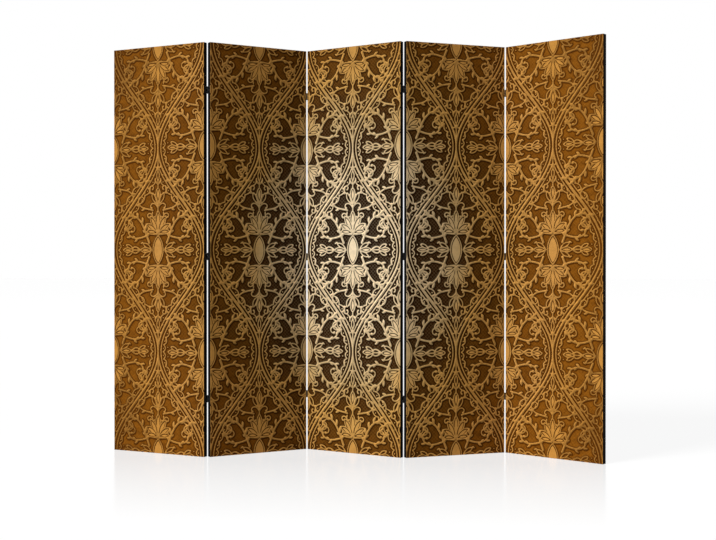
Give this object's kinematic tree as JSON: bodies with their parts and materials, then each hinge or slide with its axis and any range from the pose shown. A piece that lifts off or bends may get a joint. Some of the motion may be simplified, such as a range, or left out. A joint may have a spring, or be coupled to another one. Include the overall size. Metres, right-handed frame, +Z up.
{
  "type": "folding screen",
  "caption": "Free-standing folding screen of slim canvas-covered wooden panels joined edge to edge by small pinned hinges, folding in a zigzag.",
  "frame": {"origin": "on the floor, at the middle of the standing screen's footprint", "axes": "+X along the screen to the right as seen from its printed front, +Y away from the viewer towards the black back, +Z up"},
  "size_m": [2.0503, 0.3197, 1.72],
  "materials": {
    "printed_canvas": "woven canvas with a printed gold and brown ornament, satin ink, black at the sides",
    "black_backcloth": "thin black non-woven cloth, matt",
    "pine": "planed pine, bare",
    "black_hinge": "black lacquered steel, satin",
    "hinge_pin": "drawn steel wire, riveted ends",
    "black_screw": "black countersunk wood screw",
    "staple_wire": "flat galvanised staple wire"
  },
  "bodies": {
    "panel_1": {"panel_1_canvas": "printed_canvas", "panel_1_back_cover": "black_backcloth", "panel_1_left_stile": "pine", "panel_1_right_stile": "pine", "panel_1_top_rail": "pine", "panel_1_bottom_rail": "pine", "panel_1_mid_rail": "pine", "panel_1_staples": "staple_wire", "hinges_1_left_leaves": "black_hinge", "hinges_1_pins": "hinge_pin", "hinges_1_left_screws": "black_screw"},
    "panel_2": {"panel_2_canvas": "printed_canvas", "panel_2_back_cover": "black_backcloth", "panel_2_left_stile": "pine", "panel_2_right_stile": "pine", "panel_2_top_rail": "pine", "panel_2_bottom_rail": "pine", "panel_2_mid_rail": "pine", "panel_2_staples": "staple_wire", "hinges_1_right_leaves": "black_hinge", "hinges_1_right_screws": "black_screw", "hinges_2_left_leaves": "black_hinge", "hinges_2_pins": "hinge_pin", "hinges_2_left_screws": "black_screw"},
    "panel_3": {"panel_3_canvas": "printed_canvas", "panel_3_back_cover": "black_backcloth", "panel_3_left_stile": "pine", "panel_3_right_stile": "pine", "panel_3_top_rail": "pine", "panel_3_bottom_rail": "pine", "panel_3_mid_rail": "pine", "panel_3_staples": "staple_wire", "hinges_2_right_leaves": "black_hinge", "hinges_2_right_screws": "black_screw", "hinges_3_left_leaves": "black_hinge", "hinges_3_pins": "hinge_pin", "hinges_3_left_screws": "black_screw"},
    "panel_4": {"panel_4_canvas": "printed_canvas", "panel_4_back_cover": "black_backcloth", "panel_4_left_stile": "pine", "panel_4_right_stile": "pine", "panel_4_top_rail": "pine", "panel_4_bottom_rail": "pine", "panel_4_mid_rail": "pine", "panel_4_staples": "staple_wire", "hinges_3_right_leaves": "black_hinge", "hinges_3_right_screws": "black_screw", "hinges_4_left_leaves": "black_hinge", "hinges_4_pins": "hinge_pin", "hinges_4_left_screws": "black_screw"},
    "panel_5": {"panel_5_canvas": "printed_canvas", "panel_5_back_cover": "black_backcloth", "panel_5_left_stile": "pine", "panel_5_right_stile": "pine", "panel_5_top_rail": "pine", "panel_5_bottom_rail": "pine", "panel_5_mid_rail": "pine", "panel_5_staples": "staple_wire", "hinges_4_right_leaves": "black_hinge", "hinges_4_right_screws": "black_screw"}
  },
  "joints": [
    {"name": "fold_2", "type": "hinge", "parent": "panel_3", "child": "panel_2", "pos_m": [-0.19904, 0.13767, 0.832], "axis": [0, 0, 1], "range_deg": [-59.5, 116.9]},
    {"name": "fold_1", "type": "hinge", "parent": "panel_2", "child": "panel_1", "pos_m": [-0.59587, -0.08263, 0.832], "axis": [0, 0, -1], "range_deg": [-54, 126]},
    {"name": "fold_3", "type": "hinge", "parent": "panel_3", "child": "panel_4", "pos_m": [0.2177, -0.04213, 0.832], "axis": [0, 0, 1], "range_deg": [-49.5, 126.9]},
    {"name": "fold_4", "type": "hinge", "parent": "panel_4", "child": "panel_5", "pos_m": [0.64675, 0.10592, 0.832], "axis": [0, 0, -1], "range_deg": [-59, 121]}
  ]
}
